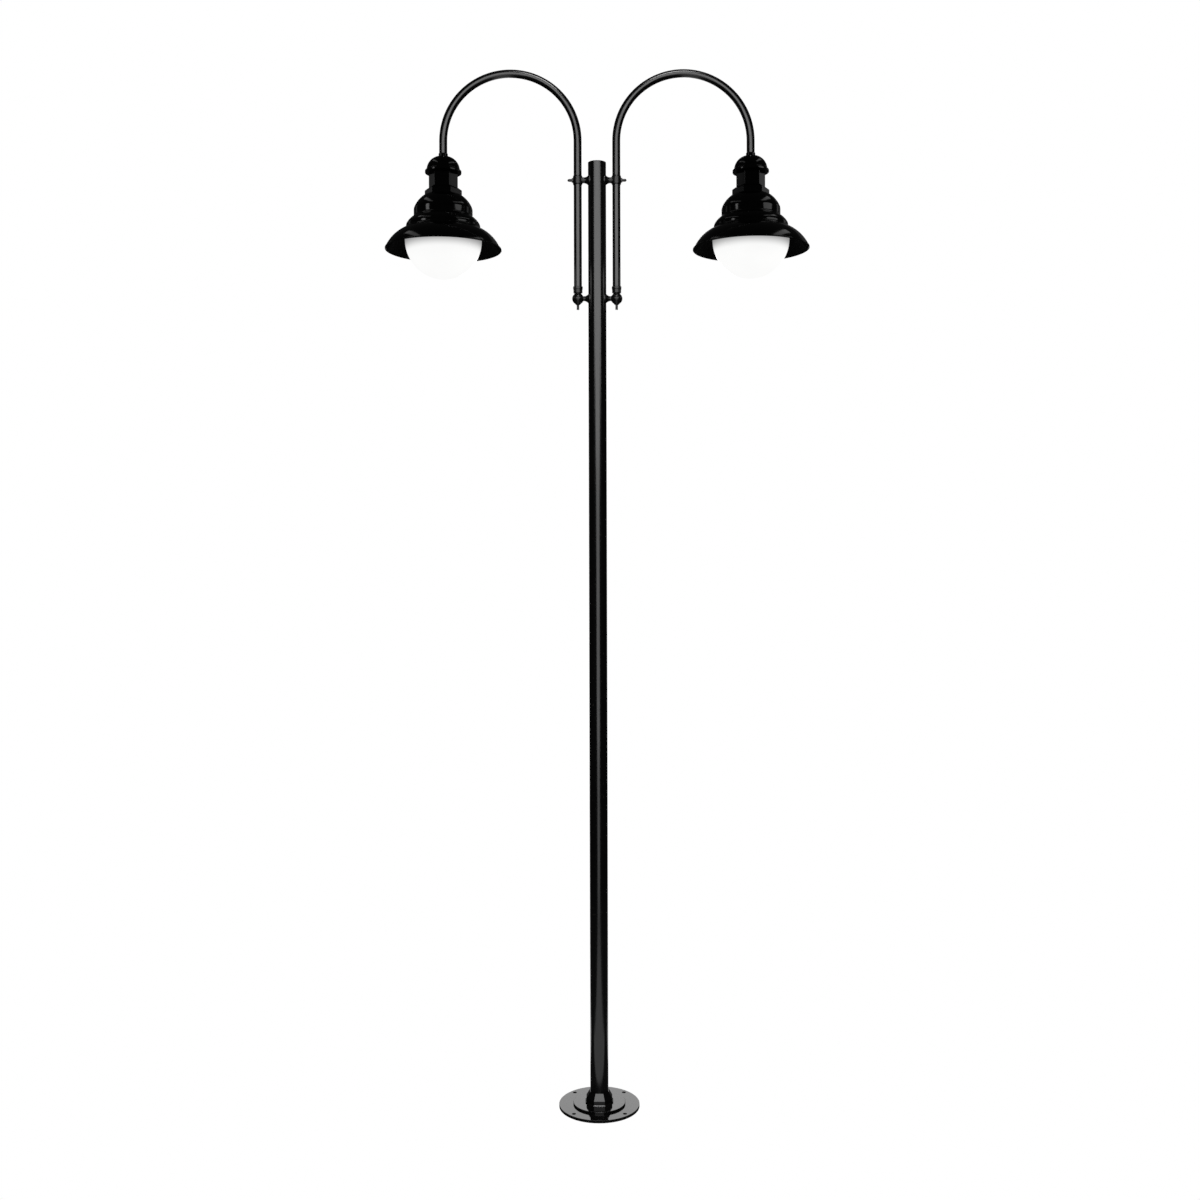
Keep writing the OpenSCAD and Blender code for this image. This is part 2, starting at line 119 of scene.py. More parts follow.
class Finish:
    def __init__(self, name, **fixed):
        self.material = bpy.data.materials.new(name)
        self.material.use_nodes = True
        self.tree = self.material.node_tree
        self.shader = self.tree.nodes["Principled BSDF"]
        labels = {"metallic": "Metallic", "specular": "Specular IOR Level", "coat": "Coat Weight",
                  "glow": "Emission Strength", "glowColour": "Emission Color"}
        for label, value in fixed.items():
            self.shader.inputs[labels[label]].default_value = value
        self.place = self.add("ShaderNodeTexCoord", output="Object")
        self.facing = self.add("ShaderNodeTexCoord", output="Normal")

    def add(self, kind, settings=None, sockets=None, output=0):
        node = self.tree.nodes.new(kind)
        for key, value in (settings or {}).items():
            setattr(node, key, value)
        for key, value in (sockets or {}).items():
            if isinstance(value, Wire):
                self.tree.links.new(value.socket, node.inputs[key])
            else:
                node.inputs[key].default_value = value
        return Wire(self, node.outputs[output])

    def cloud(self, scale, detail=2.0, place=None):
        return self.add("ShaderNodeTexNoise", None,
                        {"Vector": place or self.place, "Scale": scale, "Detail": detail})

    def stretched(self, across, along):
        return self.add("ShaderNodeMapping", {"vector_type": "POINT"},
                        {"Vector": self.place, "Scale": (across, across, along)})

    def step(self, wire, low, high):
        return self.add("ShaderNodeMapRange", {"interpolation_type": "SMOOTHSTEP"},
                        {"Value": wire, "From Min": low, "From Max": high})

    def height(self, vector):
        return self.add("ShaderNodeSeparateXYZ", None, {0: vector}, output=2)

    def mix(self, factor, first, second):
        return self.add("ShaderNodeMix", {"data_type": "RGBA"}, {0: factor, 6: first, 7: second}, output=2)

    def bump(self, relief, depth, strength=1.0):
        bumped = self.add("ShaderNodeBump", None, {"Height": relief, "Distance": depth, "Strength": strength})
        self.feed(normal=bumped)

    def feed(self, colour=None, roughness=None, normal=None, glow=None):
        for label, wire in (("Base Color", colour), ("Roughness", roughness), ("Normal", normal),
                            ("Emission Color", glow)):
            if wire is not None:
                self.tree.links.new(wire.socket, self.shader.inputs[label])


def grey(value):
    return (value, value, value * 1.02, 1)


# what all the black paints share: the scale of each pattern, and where it fades in and is full
paintPatterns = {
    "hazeScale": 5, "runScale": (55, 1.3), "runs": (0.42, 0.75), "specks": (0.63, 0.72),
    "ledgeTilt": (0.55, 0.98), "ledgeScale": 38, "ledges": (0.38, 0.72),
    "splashHeight": (0.02, 0.55), "splashScale": 16, "splashes": (0.42, 0.75),
    "dirt": (0.115, 0.105, 0.09, 1), "dirtRoughness": 0.35, "broadPeel": 0.22, "broadShare": 0.6, "peelStrength": 0.6}


# sprayed black paint: orange peel, faint vertical runs, dust on ledges and splash dirt near the ground
def blackPaint(name, settings):
    p = paintPatterns
    paint = Finish(name, specular=settings["specular"])
    haze = paint.cloud(p["hazeScale"], 4)
    runs = paint.step(paint.cloud(1, 3, paint.stretched(*p["runScale"])), *p["runs"])
    specks = paint.step(paint.cloud(settings["speckScale"], 5), *p["specks"])
    ledge = (paint.step(paint.height(paint.facing), *p["ledgeTilt"])
             * paint.step(paint.cloud(p["ledgeScale"], 5), *p["ledges"]))
    splash = ((1 - paint.step(paint.height(paint.place), *p["splashHeight"]))
              * paint.step(paint.cloud(p["splashScale"], 5), *p["splashes"]))
    dirt = ledge * settings["ledgeDust"] + splash * settings["splash"] + specks * settings["specks"]
    paint.feed(
        colour=paint.mix(dirt, grey(settings["shade"]), p["dirt"]),
        roughness=(settings["roughness"] + haze * settings["haze"] + runs * settings["runs"]
                   + dirt * p["dirtRoughness"]))
    fine, broad = settings["peelScale"], settings["peelScale"] * p["broadPeel"]
    paint.bump(paint.cloud(fine, 2) + paint.cloud(broad, 2) * p["broadShare"],
               settings["peelDepth"] * mm, p["peelStrength"])
    return paint


glossPaint = blackPaint("gloss_black_paint", {
    "shade": 0.0022, "roughness": 0.07, "haze": 0.06, "runs": 0.03, "specular": 0.5, "ledgeDust": 0.03,
    "splash": 0.0, "specks": 0.03, "speckScale": 150, "peelScale": 330, "peelDepth": 0.03})
platePaint = blackPaint("plate_black_paint", {
    "shade": 0.003, "roughness": 0.03, "haze": 0.05, "runs": 0.0, "specular": 0.6, "ledgeDust": 0.02,
    "splash": 0.02, "specks": 0.1, "speckScale": 120, "peelScale": 240, "peelDepth": 0.015})
sleevePaint = blackPaint("sleeve_black_paint", {
    "shade": 0.002, "roughness": 0.06, "haze": 0.06, "runs": 0.03, "specular": 0.55, "ledgeDust": 0.05,
    "splash": 0.02, "specks": 0.08, "speckScale": 130, "peelScale": 300, "peelDepth": 0.03})
postPaint = blackPaint("post_black_paint", {
    "shade": 0.0015, "roughness": 0.14, "haze": 0.06, "runs": 0.06, "specular": 0.5, "ledgeDust": 0.15,
    "splash": 0.03, "specks": 0.1, "speckScale": 115, "peelScale": 420, "peelDepth": 0.04})
castPaint = blackPaint("cast_black_paint", {
    "shade": 0.002, "roughness": 0.2, "haze": 0.08, "runs": 0.04, "specular": 0.32, "ledgeDust": 0.1,
    "splash": 0.03, "specks": 0.1, "speckScale": 190, "peelScale": 620, "peelDepth": 0.12})


# the darker glow colour and the two heights after it set the painted shadow band just under the bowl's rim
opalSettings = {
    "clean": (0.9, 0.9, 0.895, 1), "aged": (0.86, 0.855, 0.84, 1), "glow": 1.0,
    "lit": (0.96, 0.96, 0.955, 1), "paintedShade": (0.3, 0.3, 0.3, 1), "paintedShadeStart": -0.018, "paintedShadeFull": 0.034}


# opal acrylic lit from inside; a painted shadow turns its glow colour down in a band just under the rim, where the
# shade and its gallery close round it
def opalFinish():
    s = opalSettings
    opal = Finish("opal_acrylic", glow=s["glow"], specular=0.5)
    cloudy = opal.cloud(14, 3)
    film = opal.step(opal.cloud(60, 5), 0.5, 0.8)
    # painted shadow of the skirt: the glow colour goes from full to dark over these heights just under the rim
    paintedShadeBand = opal.step(opal.height(opal.place), rimHeight + s["paintedShadeStart"], rimHeight + s["paintedShadeFull"])
    opal.feed(colour=opal.mix(cloudy * 0.5 + film * 0.2, s["clean"], s["aged"]),
              roughness=0.11 + film * 0.16,
              glow=opal.mix(paintedShadeBand * 0.95 + cloudy * 0.05, s["lit"], s["paintedShade"]))
    opal.bump(opal.cloud(30, 2), 0.05 * mm, 0.4)
    return opal


def enamelFinish():
    enamel = Finish("white_enamel", specular=0.55)
    grime = enamel.step(enamel.cloud(26, 5), 0.45, 0.8)
    enamel.feed(colour=enamel.mix(grime * 0.4, (0.83, 0.83, 0.81, 1), (0.66, 0.64, 0.58, 1)),
                roughness=0.16 + grime * 0.2)
    enamel.bump(enamel.cloud(380, 2), 0.04 * mm, 0.5)
    return enamel


def brushedFinish(name, light, dark, roughness, across, along):
    metal = Finish(name, metallic=1.0)
    lines = metal.cloud(1, 3, metal.stretched(across, along))
    stain = metal.step(metal.cloud(45, 4), 0.45, 0.75)
    metal.feed(colour=metal.mix(lines * 0.5 + stain * 0.4, light, dark),
               roughness=roughness + lines * 0.14 + stain * 0.12)
    metal.bump(lines, 0.03 * mm, 0.5)
    return metal


def zincFinish():
    zinc = Finish("zinc_plate", metallic=0.9)
    spangle = zinc.add("ShaderNodeTexVoronoi", {"feature": "F1"}, {"Vector": zinc.place, "Scale": 230.0})
    bloom = zinc.step(zinc.cloud(70, 5), 0.48, 0.72)
    zinc.feed(colour=zinc.mix(bloom * 0.6 + spangle * 0.35, (0.5, 0.51, 0.53, 1), (0.33, 0.34, 0.35, 1)),
              roughness=0.34 + spangle * 0.18 + bloom * 0.15)
    zinc.bump(spangle, 0.04 * mm, 0.5)
    return zinc


def mouldedFinish(name, colour, worn, roughness, grainScale, grainDepth, **fixed):
    moulded = Finish(name, **fixed)
    rub = moulded.step(moulded.cloud(60, 5), 0.52, 0.78)
    moulded.feed(colour=moulded.mix(rub * 0.5, colour, worn), roughness=roughness + rub * 0.15)
    moulded.bump(moulded.cloud(grainScale, 3), grainDepth * mm, 0.7)
    return moulded


finishes = {
    "black_gloss": glossPaint,
    "black_cast": castPaint,
    "opal": opalFinish(),
    "white_enamel": enamelFinish(),
    "stainless": brushedFinish("brushed_stainless", (0.62, 0.61, 0.6, 1), (0.42, 0.42, 0.42, 1), 0.22, 900, 60),
    "zinc": zincFinish(),
    "grey_case": mouldedFinish("pressed_case", (0.55, 0.56, 0.57, 1), (0.42, 0.42, 0.43, 1), 0.34, 260, 0.05,
                               metallic=0.7),
    "porcelain": mouldedFinish("porcelain_glaze", (0.86, 0.85, 0.81, 1), (0.74, 0.71, 0.64, 1), 0.12, 90, 0.08,
                               coat=0.5),
    "frosted_glass": mouldedFinish("frosted_bulb", (0.92, 0.92, 0.9, 1), (0.86, 0.85, 0.82, 1), 0.32, 120, 0.03,
                                   glow=0.6, glowColour=(1, 0.97, 0.9, 1)),
    "black_rubber": mouldedFinish("black_rubber", (0.016, 0.016, 0.016, 1), (0.05, 0.048, 0.045, 1), 0.72, 800, 0.12),
    "dark_plastic": mouldedFinish("dark_plastic", (0.035, 0.036, 0.04, 1), (0.075, 0.075, 0.078, 1), 0.42, 900, 0.09),
    "cream_plastic": mouldedFinish("cream_plastic", (0.72, 0.67, 0.54, 1), (0.58, 0.52, 0.4, 1), 0.38, 500, 0.05),
    "brass": brushedFinish("turned_brass", (0.66, 0.5, 0.23, 1), (0.36, 0.27, 0.13, 1), 0.2, 700, 700),
}
for node, slot in slotOf.items():
    nodes[node].data.materials.clear()
    nodes[node].data.materials.append(finishes[slot].material)
print("finishes mixed:", len(finishes) + 3)  # with the plate's, the sleeve's and the post's


# how pieces are made
unfinished = []  # pieces whose modifiers are written into their meshes at the end


def addPiece(name, bm, finish, *replaced, rider=None, slot=None, sharp=32):
    bmesh.ops.remove_doubles(bm, verts=bm.verts, dist=1e-6)
    mesh = bpy.data.meshes.new(name)
    bm.to_mesh(mesh)
    bm.free()
    mesh.shade_smooth()
    mesh.set_sharp_from_angle(angle=math.radians(sharp))
    mesh.materials.append(finish.material)
    piece = bpy.data.objects.new(name, mesh)
    bpy.context.collection.objects.link(piece)
    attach(piece, nodes[rider or replaced[0]]["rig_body"])
    if replaced:
        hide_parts(*replaced)
    return piece


def arc(start, end, sag, count):  # points of an arc that bulges to the right of its travel
    start, end = Vector(start), Vector(end)
    chord = (end - start).length
    radius = (chord * chord / 4 + sag * sag) / (2 * sag)
    along = (end - start) / chord
    out = Vector((along.y, -along.x))
    centre = (start + end) / 2 + out * (sag - radius)
    half = math.asin(chord / 2 / radius)
    turns = [half * (2 * i / count - 1) for i in range(count + 1)]
    return [centre + radius * (math.sin(t) * along + math.cos(t) * out) for t in turns]


# turns an outline of (radius, height) pairs in millimetres round an upright axis
def turned(bm, outline, centre, closed=False, steps=128):
    upright = Vector((0, 0, 1))
    chain = [bm.verts.new(centre + Vector((r * mm, 0, h * mm))) for r, h in outline]
    pairs = list(zip(chain, chain[1:])) + ([(chain[-1], chain[0])] if closed else [])
    edges = [bm.edges.new(pair) for pair in pairs]
    bmesh.ops.spin(bm, geom=chain + edges, cent=centre, axis=upright, angle=2 * math.pi, steps=steps,
                   use_merge=True)
    bmesh.ops.remove_doubles(bm, verts=bm.verts, dist=2e-6)
    bmesh.ops.recalc_face_normals(bm, faces=bm.faces)


def roundCorners(bm, width, segments=3, degrees=25):
    corners = [e for e in bm.edges if e.is_manifold and e.calc_face_angle() > math.radians(degrees)]
    bmesh.ops.bevel(bm, geom=corners, offset=width * mm, segments=segments, profile=0.5, affect="EDGES",
                    clamp_overlap=True, material=-1)


def joinInto(bm, other):
    mesh = bpy.data.meshes.new("joined")
    other.to_mesh(mesh)
    other.free()
    bm.from_mesh(mesh)
    bpy.data.meshes.remove(mesh)


def cadCopy(node):
    bm = bmesh.new()
    bm.from_mesh(nodes[node].data)
    bmesh.ops.remove_doubles(bm, verts=bm.verts, dist=2e-6)
    bmesh.ops.dissolve_limit(bm, angle_limit=math.radians(0.4), verts=bm.verts, edges=bm.edges)
    return bm


def evenOut(piece):  # flat faces stay flat to the eye right up to their rounded edges
    piece.modifiers.new("even_normals", "WEIGHTED_NORMAL").keep_sharp = True
    unfinished.append(piece)
    return piece


def softened(node, finish, width, segments=2):
    bm = cadCopy(node)
    roundCorners(bm, width, segments)
    return evenOut(addPiece(node + "_finished", bm, finish, node, sharp=50))


# a casting: the CAD copy is remeshed so that its joins get fillets and its edges a small round
def cast(node, finish, grain, rounds):
    piece = addPiece(node + "_casting", cadCopy(node), finish, node, sharp=180)
    remesh = piece.modifiers.new("skin", "REMESH")
    remesh.mode = "VOXEL"
    remesh.voxel_size = grain * mm
    remesh.use_smooth_shade = True
    smooth = piece.modifiers.new("rounds", "SMOOTH")
    smooth.factor = 0.5
    smooth.iterations = rounds
    unfinished.append(piece)
    return piece


baseSizes = {"plateRound": 1.2, "stepRound": 1.0, "sleeveRound": 1.6}

softened("base_plate", platePaint, baseSizes["plateRound"], 3)
softened("base_step", platePaint, baseSizes["stepRound"], 3)
softened("base_sleeve", sleevePaint, baseSizes["sleeveRound"], 3)

weldSizes = {"flats": 111.5, "lift": 1.0, "size": 2.5, "scale": 2.6, "ripple": 0.16}


# the run of weld round the sleeve's foot, one swell for each dab of the rod
def makeWeld():
    w = weldSizes
    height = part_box("base_sleeve")[0].z + w["lift"] * mm
    reach = w["flats"] / 2 / math.cos(math.pi / 8) * mm
    corners = [Vector((reach * math.cos(a), reach * math.sin(a), height))
               for a in [math.pi / 8 + i * math.pi / 4 for i in range(8)]]
    dabs = 2 * round((corners[1] - corners[0]).length / (w["scale"] * mm))
    flats = zip(corners, corners[1:] + corners[:1])
    points = [a.lerp(b, i / dabs) for a, b in flats for i in range(dabs)]
    run = bpy.data.curves.new("weld_run", "CURVE")
    run.dimensions = "3D"
    run.bevel_depth = w["size"] * mm
    run.bevel_resolution = 3
    spline = run.splines.new("POLY")
    spline.points.add(len(points) - 1)
    spline.use_cyclic_u = True
    for i, (spot, point) in enumerate(zip(points, spline.points)):
        point.co = (*spot, 1)
        point.radius = 1 + w["ripple"] * (1 if i % 2 else -1)
    holder = bpy.data.objects.new("weld_run", run)
    bm = bmesh.new()
    bm.from_mesh(bpy.data.meshes.new_from_object(holder))
    bpy.data.objects.remove(holder)
    bmesh.ops.remove_doubles(bm, verts=bm.verts, dist=1e-6)
    bmesh.ops.recalc_face_normals(bm, faces=bm.faces)
    addPiece("sleeve_weld", bm, sleevePaint, rider="base_sleeve", sharp=70)


makeWeld()
print("base made")


# each piece's edge round, and the steps across it
postRounds = {"post_lid": (0.8, 3), "door_panel": (0.35, 2), "door_screw": (0.5, 2), "door_bar": (0.8, 2),
              "gear_rail": (0.8, 2), "fuse_box": (2.0, 3), "fuse_carriers": (1.2, 3), "earth_stud": (0.5, 2)}

nodes["post_tube"].data.materials[0] = postPaint.material
for node, (width, segments) in postRounds.items():
    painted = slotOf[node] == "black_gloss"
    softened(node, postPaint if painted else finishes[slotOf[node]], width, segments)
print("post made")


bracketSizes = {"grain": 0.9, "rounds": 7}
bracketRounds = {"clamp_bolt": 0.4, "clamp_nut": 0.6, "gland_nut": 0.8, "finial_stud": 0.8}

for side in sides:
    cast(f"{side}_upper_bracket", castPaint, bracketSizes["grain"], bracketSizes["rounds"])
    cast(f"{side}_lower_bracket", castPaint, bracketSizes["grain"], bracketSizes["rounds"])
    for part, width in bracketRounds.items():
        softened(f"{side}_{part}", castPaint, width)
print("brackets made")


armSizes = {"wall": 2.6, "steps": 48, "bendSteps": 72, "lengths": 8, "endGap": 4}


def makeArm(side, sign):
    low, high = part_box(f"{side}_arm_tube")
    lampAxis, postAxis = middle(f"{side}_bowl").x, middle(f"{side}_gland_nut").x
    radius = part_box(f"{side}_arm_tube")[1].y
    bend = abs(lampAxis - postAxis) / 2
    bendHeight = high.z - bend - radius
    bm = bmesh.new()
    bmesh.ops.create_circle(bm, segments=armSizes["steps"], radius=radius,
                            matrix=Matrix.Translation((postAxis, 0, low.z)))
    ring = bm.edges[:]

    def lengthen(edges, move):
        made = bmesh.ops.extrude_edge_only(bm, edges=edges)["geom"]
        bmesh.ops.translate(bm, verts=[g for g in made if isinstance(g, bmesh.types.BMVert)], vec=move)
        return [g for g in made if isinstance(g, bmesh.types.BMEdge)
                and len({round(v.co.z, 6) for v in g.verts}) == 1]

    for _ in range(armSizes["lengths"]):
        ring = lengthen(ring, (0, 0, (bendHeight - low.z) / armSizes["lengths"]))
    spun = bmesh.ops.spin(bm, geom=ring, cent=((postAxis + lampAxis) / 2, 0, bendHeight), axis=(0, sign, 0),
                          angle=math.pi, steps=armSizes["bendSteps"])["geom_last"]
    endHeight = middle(f"{side}_lock_nut").z * 2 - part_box(f"{side}_lock_nut")[1].z - armSizes["endGap"] * mm
    lengthen([g for g in spun if isinstance(g, bmesh.types.BMEdge)], (0, 0, endHeight - bendHeight))
    bmesh.ops.recalc_face_normals(bm, faces=bm.faces)
    bmesh.ops.solidify(bm, geom=bm.faces[:], thickness=armSizes["wall"] * mm)
    addPiece(f"{side}_arm", bm, postPaint, f"{side}_arm_tube")


for side, sign in sides.items():
    makeArm(side, sign)
print("arms made")


# heights inside a lamp are above the rim
shadeSizes = {
    "rim": 492, "skirt": 87, "skirtBulge": 12.5, "shoulder": 314, "shoulderRise": 17, "tier": 34, "tierBulge": 3,
    "waist": 249, "waistRise": 34, "dome": 57, "domeBulge": 6, "domeTop": 158, "sheet": 2, "bead": 3, "crease": 6,
    "bore": 50}
capSizes = {"brim": 154, "brimRise": 10, "dome": 140, "domeFoot": 4, "rise": 59, "bulge": 13, "crownFlat": 6,
            "wall": 3, "round": 2.2}
bulbSizes = {"across": 75, "middle": 62, "neck": 28.4, "neckStart": 140, "neckCurve": 1.8, "top": 156, "cap": 26.4,
             "pitch": 1.75, "threads": 14, "capFoot": 14, "contact": 9, "capTop": 186}
holderSizes = {"across": 50, "bore": 13.6, "boreTop": 191, "foot": 165, "top": 224, "ribs": 3, "rib": 9, "gap": 4,
               "groove": 1.5, "round": 0.6}
bowlSizes = {"across": 324, "centreRise": 40, "wall": 3, "cut": 57.5, "lip": 3, "lap": 2, "flange": 334,
             "steps": 40}
lampRounds = {"lock_nut": 0.8, "gear_plate": 0.4, "driver": 2.0, "reflector": 0.3, "gallery": 0.3, "gasket": 0.6,
              "catch": 0.3, "hinge_pin": 0.3, "bowl_ring": 0.3}


def makeShade(side, centre):
    s = shadeSizes
    shoulderTop = s["skirt"] + s["shoulderRise"]
    tierTop = shoulderTop + s["tier"]
    waistTop = tierTop + s["waistRise"]
    domeTop = waistTop + s["dome"]
    outline = (arc((s["rim"] / 2, 0), (s["shoulder"] / 2, s["skirt"]), s["skirtBulge"], 14)
               + arc((s["shoulder"] / 2, shoulderTop), (s["waist"] / 2, tierTop), s["tierBulge"], 8)
               + arc((s["waist"] / 2, waistTop), (s["domeTop"] / 2, domeTop), s["domeBulge"], 10)
               + [(s["bore"], domeTop)])
    bm = bmesh.new()
    turned(bm, outline, centre)
    roundCorners(bm, s["crease"], 6, 20)
    bmesh.ops.solidify(bm, geom=bm.faces[:], thickness=s["sheet"] * mm)
    bead = bmesh.new()
    turned(bead, [(s["rim"] / 2 - s["bead"] * (1 - math.cos(a)), s["bead"] * (1 + math.sin(a)))
                  for a in [i * math.pi / 8 for i in range(16)]], centre, closed=True)
    joinInto(bm, bead)
    addPiece(f"{side}_bell_shade", bm, glossPaint, f"{side}_shade")


def makeCap(side, centre, capLow):
    s = capSizes
    top = s["brimRise"] + s["rise"]
    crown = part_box(f"{side}_arm_tube")[1].y / mm
    dome = arc((s["dome"] / 2, s["brimRise"] + s["domeFoot"]), (crown + s["crownFlat"], top), s["bulge"], 14)
    seat = (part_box(f"{side}_lock_nut")[1].z - capLow) / mm
    hollow = [(p[0] - s["wall"], min(p[1] - s["wall"], seat)) for p in dome]
    bore = shadeSizes["bore"]
    outline = ([(s["brim"] / 2, 0), (s["brim"] / 2, s["brimRise"])] + dome
               + [(crown, top), (crown, seat)] + hollow[::-1]
               + [(s["dome"] / 2 - s["wall"], s["wall"]), (bore, s["wall"]), (bore, 0)])
    bm = bmesh.new()
    turned(bm, outline, Vector((centre.x, centre.y, capLow)), closed=True)
    roundCorners(bm, s["round"], 3, 30)
    addPiece(f"{side}_cap_casting", bm, glossPaint, f"{side}_cap")


def makeBowl(side, centre):
    s = bowlSizes
    r, cut = s["across"] / 2, s["cut"] - s["centreRise"]
    last = math.asin((cut + s["lip"]) / r)
    angles = [-math.pi / 2 + (last + math.pi / 2) * i / s["steps"] for i in range(s["steps"] + 1)]
    bowl = [(r * math.cos(a), s["centreRise"] + r * math.sin(a)) for a in angles]
    bm = bmesh.new()
    turned(bm, [(0, bowl[0][1])] + bowl[1:], centre)
    bmesh.ops.solidify(bm, geom=bm.faces[:], thickness=s["wall"] * mm)
    flange = bmesh.new()
    inner, outer, lipTop = r - s["lap"], s["flange"] / 2, s["cut"] + s["lip"]
    turned(flange, [(inner, s["cut"]), (outer, s["cut"]), (outer, lipTop), (inner, lipTop)], centre, closed=True)
    joinInto(bm, flange)
    addPiece(f"{side}_opal_bowl", bm, finishes["opal"], f"{side}_bowl", sharp=50)


def makeBulb(side, centre):
    s = bulbSizes
    r, narrow = s["across"] / 2, s["neck"] / 2
    globe = [(r * math.cos(a), s["middle"] + r * math.sin(a))
             for a in [math.radians(-90 + 6 * i) for i in range(21)]]
    wide, foot = globe[-1]
    taper = [(narrow + (wide - narrow) * (1 - t) ** s["neckCurve"], foot + (s["neckStart"] - foot) * t)
             for t in [i / 12 for i in range(1, 13)]]
    bm = bmesh.new()
    turned(bm, [(0, globe[0][1])] + globe[1:] + taper + [(narrow - 0.4, s["top"]), (0, s["top"])], centre, steps=64)
    addPiece(f"{side}_bulb_glass", bm, finishes["frosted_glass"], f"{side}_bulb", sharp=60)
    thread = [(s["cap"] / 2 - (1.0 if i % 2 else 0.2), s["top"] - 1 + s["pitch"] * i) for i in range(s["threads"])]
    tip = [(s["capFoot"] / 2, s["capTop"] - 4), (s["contact"] / 2, s["capTop"]), (0, s["capTop"])]
    bm = bmesh.new()
    turned(bm, [(0, s["top"] - 1)] + thread + tip, centre, steps=64)
    addPiece(f"{side}_bulb_cap", bm, finishes["brass"], rider=f"{side}_bulb", slot="brass", sharp=80)


def makeHolder(side, centre):
    s = holderSizes
    r, low = s["across"] / 2, s["foot"]
    ribs = []
    for i in range(s["ribs"]):
        base = low + 2 + i * (s["rib"] + s["gap"])
        ribTop, waist = base + s["rib"], r - s["groove"]
        ribs += [(r, base), (r, ribTop), (waist, ribTop + 1), (waist, ribTop + 3)]
    bm = bmesh.new()
    turned(bm, [(0, s["boreTop"]), (s["bore"], s["boreTop"]), (s["bore"], low), (r - 2, low)] + ribs
           + [(r, ribs[-1][1] + 1), (r, s["top"]), (0, s["top"])], centre, steps=64)
    roundCorners(bm, s["round"], 2, 30)
    evenOut(addPiece(f"{side}_lamp_socket", bm, finishes["porcelain"], f"{side}_lamp_holder", sharp=60))


for side in sides:
    rimCentre = Vector((middle(f"{side}_shade").x, 0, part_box(f"{side}_shade")[0].z))
    makeBulb(side, rimCentre)
    makeHolder(side, rimCentre)
    makeShade(side, rimCentre)
    makeCap(side, rimCentre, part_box(f"{side}_cap")[0].z)
    makeBowl(side, rimCentre)
    softened(f"{side}_neck", glossPaint, 2.4, 3)
    softened(f"{side}_collar", glossPaint, 2.6, 3)
    softened(f"{side}_cap_nut", castPaint, 0.8, 2)
    for part, width in lampRounds.items():
        node = f"{side}_{part}"
        softened(node, finishes[slotOf[node]], width)
print("lamps made")


bpy.context.view_layer.update()
evaluated = bpy.context.evaluated_depsgraph_get()
shapes = [bpy.data.meshes.new_from_object(piece.evaluated_get(evaluated)) for piece in unfinished]
for piece, shape in zip(unfinished, shapes):
    piece.modifiers.clear()
    piece.data = shape
print("modifiers written in:", len(unfinished))

# floor, backdrop and light; both are plain paper to the camera and dim to the paint's reflections
stageSizes = {"floor": 3.0, "floorDrop": 0.5, "paper": 1.0, "room": 0.015, "floorShine": 0.04}


def paperAndRoom(tree, room, target):
    paper = tree.nodes.new(room.bl_idname)
    paper.inputs["Color"].default_value = (1, 1, 1, 1)
    paper.inputs["Strength"].default_value = stageSizes["paper"]
    pathKind = tree.nodes.new("ShaderNodeLightPath")
    either = tree.nodes.new("ShaderNodeMixShader")
    tree.links.new(pathKind.outputs["Is Camera Ray"], either.inputs[0])
    tree.links.new(room.outputs[0], either.inputs[1])
    tree.links.new(paper.outputs[0], either.inputs[2])
    tree.links.new(either.outputs[0], target.inputs["Surface"])


floorMaterial = bpy.data.materials.new("pale_floor")
floorMaterial.use_nodes = True
floorTree = floorMaterial.node_tree
floorTree.nodes.remove(floorTree.nodes["Principled BSDF"])
floorShine = floorTree.nodes.new("ShaderNodeEmission")
floorShine.inputs["Strength"].default_value = stageSizes["floorShine"]
paperAndRoom(floorTree, floorShine, floorTree.nodes["Material Output"])
bm = bmesh.new()
bmesh.ops.create_circle(bm, cap_ends=True, segments=128, radius=stageSizes["floor"],
                        matrix=Matrix.Translation((0, 0, -stageSizes["floorDrop"] * mm)))
floorMesh = bpy.data.meshes.new("floor")
bm.to_mesh(floorMesh)
bm.free()
floorMesh.materials.append(floorMaterial)
floor = bpy.data.objects.new("floor", floorMesh)
bpy.context.collection.objects.link(floor)

world = bpy.data.worlds.new("studio")
bpy.context.scene.world = world
world.use_nodes = True
room = world.node_tree.nodes["Background"]
room.inputs["Color"].default_value = (1, 1, 1, 1)
room.inputs["Strength"].default_value = stageSizes["room"]
paperAndRoom(world.node_tree, room, world.node_tree.nodes["World Output"])

# the gloss lamps and the satin steelwork are lit apart, as with flags between them
lampGroup = bpy.data.collections.new("lamps")
steelGroup = bpy.data.collections.new("steelwork")
for thing in [o for o in bpy.data.objects if o.type == "MESH" and "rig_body" in o]:
    inLamp = thing["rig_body"].endswith(("_arm", "_bowl")) and thing.data.materials[0] != postPaint.material
    (lampGroup if inLamp else steelGroup).objects.link(thing)


def softbox(name, group, place, aim, width, height, radiance, shape="RECTANGLE"):
    data = bpy.data.lights.new(name, "AREA")
    data.shape = shape
    data.size, data.size_y = width, height
    area = width * height * (math.pi / 4 if shape == "ELLIPSE" else 1)
    data.energy = radiance * math.pi * area
    box = bpy.data.objects.new(name, data)
    bpy.context.collection.objects.link(box)
    box.location = place
    box.rotation_euler = (Vector(aim) - Vector(place)).to_track_quat("-Z", "Y").to_euler()
    box.visible_camera = False
    box.light_linking.receiver_collection = group


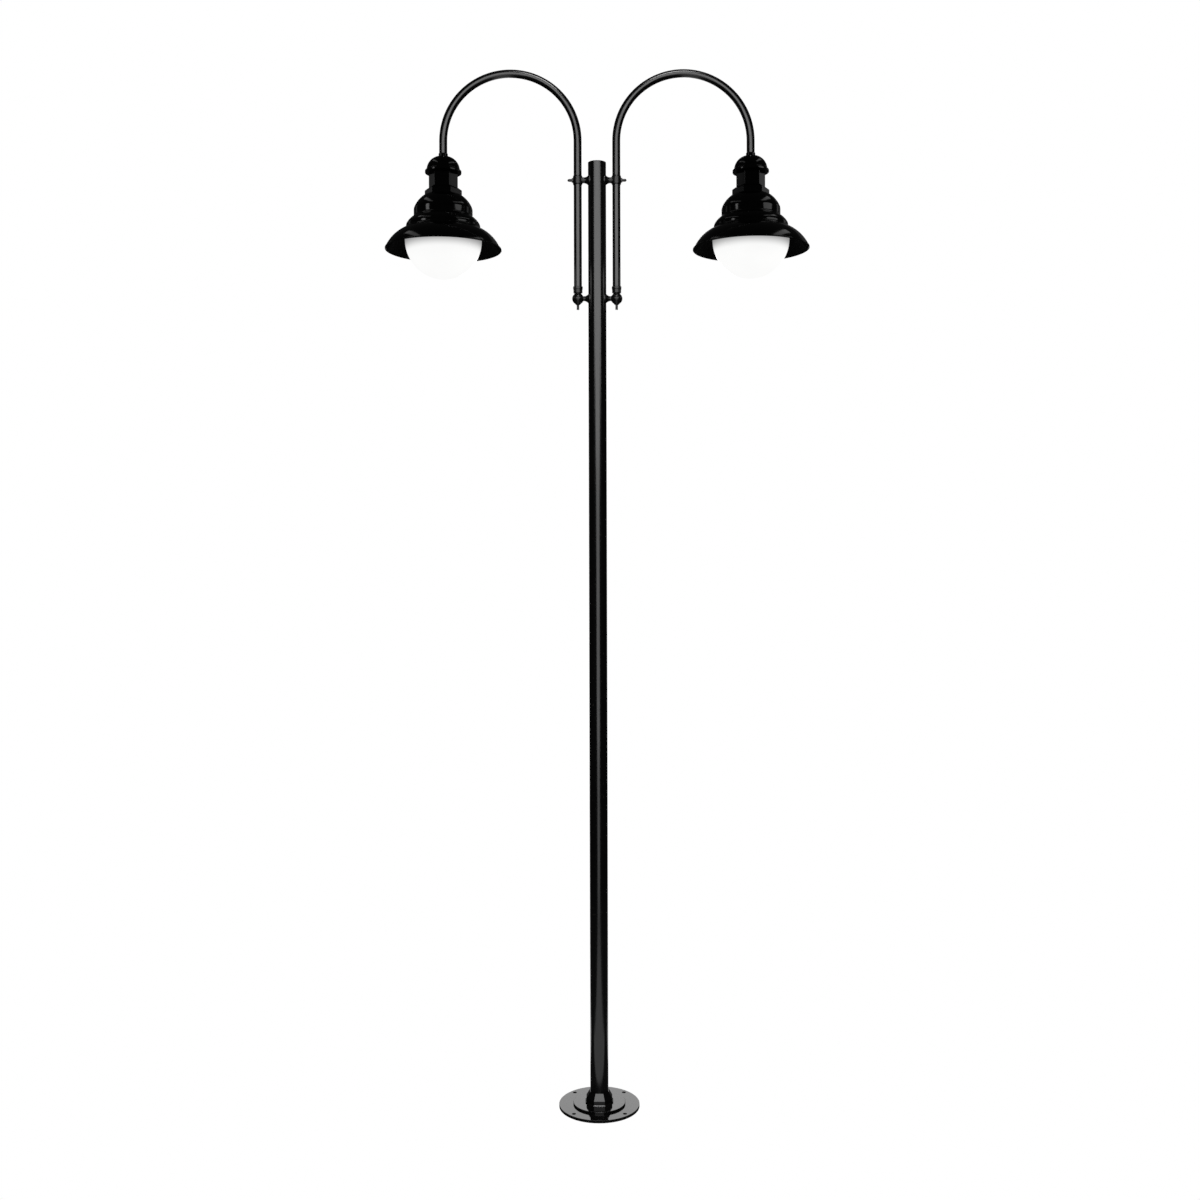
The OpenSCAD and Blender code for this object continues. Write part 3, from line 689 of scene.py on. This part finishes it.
# place, the point it faces, width, height and radiance, in metres
steelBoxes = {
    "front_high": ((0.3, -5.0, 4.95), (0.3, 0, 4.95), 9.0, 2.1, 3.6),
    "front_join": ((0.1, -5.0, 3.47), (0.1, 0, 3.47), 5.0, 0.84, 3.2),
    "front_top": ((0.0, -5.0, 6.3), (0, 0, 6.3), 2.2, 0.5, 5.0),
    "front_mid": ((0.0, -5.0, 1.9), (0, 0, 1.9), 3.4, 2.3, 2.0),
    "front_low": ((0.0, -3.6, 0.3), (0, 0, 1.4), 1.8, 1.6, 1.2),
    "front_floor": ((0, -1.35, 0.02), (0, -1.35, 5), 1.5, 2.2, 0.85),
    "overhead": ((0.25, -2.0, 6.5), (0, 0, 0), 1.1, 0.9, 14),
    "behind": ((0, 6.0, 2.6), (0, 0, 2.6), 1.6, 4.8, 1.75),
    "behind_floor": ((0, 2.7, 0.02), (0, 2.7, 5), 1.5, 4.6, 0.85),
}
lampBoxes = {
    "right_front": ((6.2, -2.9, 5.5), (0, 0, 3.8), 4.6, 2.2, 1.1, "ELLIPSE"),
    "left_front": ((-5.6, -3.2, 5.4), (0, 0, 3.8), 1.4, 2.0, 2.2, "ELLIPSE"),
    "right_strip": ((5.0, -0.5, 10.0), (0, 0, 3.8), 7.0, 1.0, 0.8),
    "left_strip": ((-5.0, -0.5, 10.0), (0, 0, 3.8), 7.0, 0.8, 0.6),
    "right_side": ((5.5, 3.15, 5.4), (0, 0, 3.8), 1.3, 1.8, 0.26),
    "left_side": ((-5.5, 3.15, 5.4), (0, 0, 3.8), 1.0, 1.8, 0.12),
    "back_wall": ((2.5, 8.0, 6.0), (0, 0, 3.8), 9.0, 6.0, 0.05),
    "behind_lamps": ((0, 7.0, 4.6), (0, 0, 3.8), 1.1, 3.0, 1.6),
}
for group, boxes in ((steelGroup, steelBoxes), (lampGroup, lampBoxes)):
    for name, settings in boxes.items():
        softbox(name, group, *settings)

viewSettings = bpy.context.scene.view_settings
viewSettings.view_transform = "Standard"
viewSettings.look = "None"
print("stage set")
